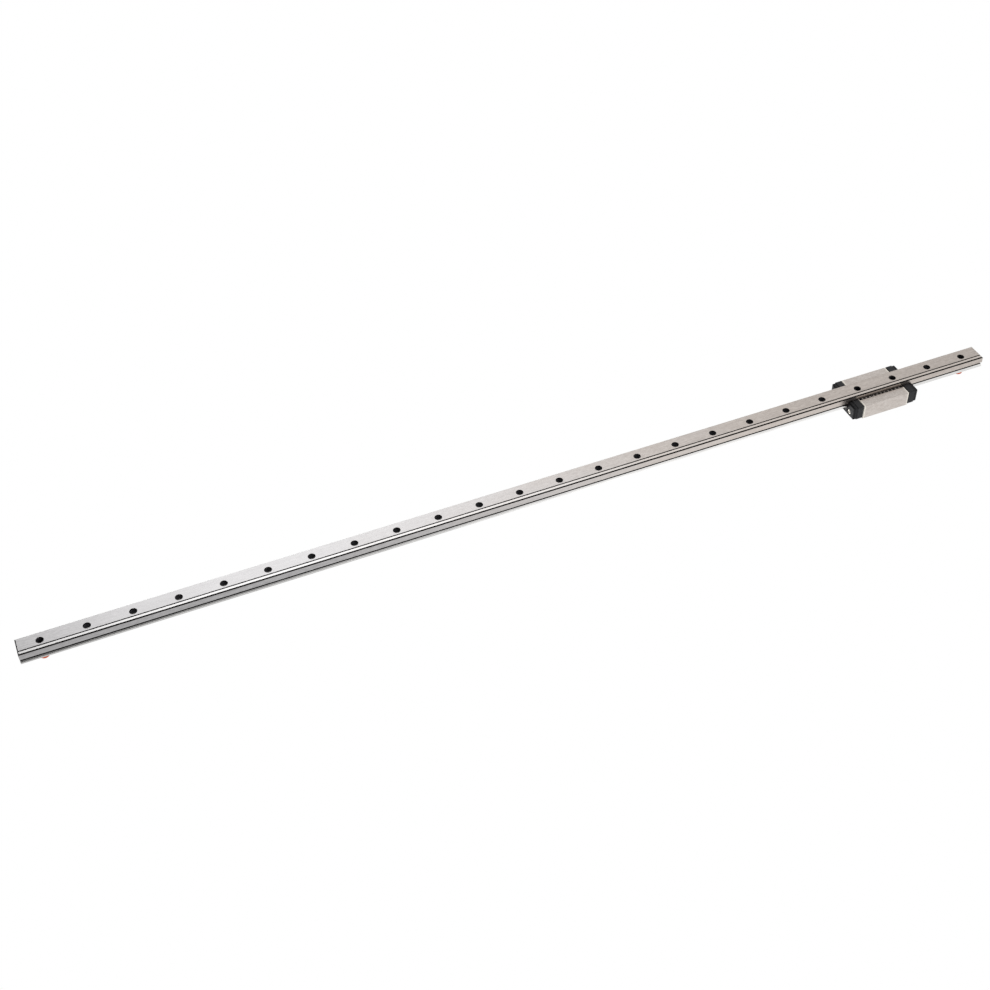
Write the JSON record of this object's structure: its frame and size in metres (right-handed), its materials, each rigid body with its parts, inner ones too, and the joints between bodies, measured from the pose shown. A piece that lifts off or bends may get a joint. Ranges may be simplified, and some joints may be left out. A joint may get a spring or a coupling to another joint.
{
  "type": "miniature linear guide",
  "caption": "Slim profiled steel rail with a long recirculating-ball carriage on it, black end caps and an orange stop plug near each end.",
  "frame": {"origin": "the centre of the rail's mounting face", "axes": "+X along the rail towards the end that the carriage stands near, +Y across it towards the side with the reference mark on the mounting face, +Z from the mounting face up to the carriage's top"},
  "size_m": [0.6, 0.027, 0.013],
  "materials": {
    "ground_rail_steel": "ground lengthwise, satin",
    "block_steel": "fine ground, satin",
    "cap_plastic": "moulded, fine grain",
    "seal_rubber": "matt moulded rubber",
    "guide_plastic": "smooth moulded",
    "wire_steel": "drawn wire, bright",
    "ball_steel": "polished",
    "screw_steel": "plain stainless",
    "plug_plastic": "soft moulded, orange"
  },
  "bodies": {
    "rail": {"rail": "ground_rail_steel"},
    "carriage": {"carriage_block": "block_steel", "left_end_cap": "cap_plastic", "right_end_cap": "cap_plastic", "left_end_seal": "seal_rubber", "right_end_seal": "seal_rubber", "left_front_return_guide": "guide_plastic", "left_rear_return_guide": "guide_plastic", "right_front_return_guide": "guide_plastic", "right_rear_return_guide": "guide_plastic", "front_retainer_wire": "wire_steel", "rear_retainer_wire": "wire_steel", "front_loaded_balls": "ball_steel", "rear_loaded_balls": "ball_steel", "front_return_balls": "ball_steel", "rear_return_balls": "ball_steel", "left_front_cap_screw": "screw_steel", "left_rear_cap_screw": "screw_steel", "right_front_cap_screw": "screw_steel", "right_rear_cap_screw": "screw_steel"},
    "left_plug": {"left_stop_plug": "plug_plastic"},
    "right_plug": {"right_stop_plug": "plug_plastic"}
  },
  "joints": [
    {"name": "carriage_slide", "type": "slide", "parent": "rail", "child": "carriage", "axis": [1, 0, 0], "range_m": [-0.487, 0.0357]},
    {"name": "left_plug_lift", "type": "slide", "parent": "rail", "child": "left_plug", "axis": [0, 0, 1], "range_m": [0, 0.006]},
    {"name": "right_plug_lift", "type": "slide", "parent": "rail", "child": "right_plug", "axis": [0, 0, 1], "range_m": [0, 0.006]}
  ]
}
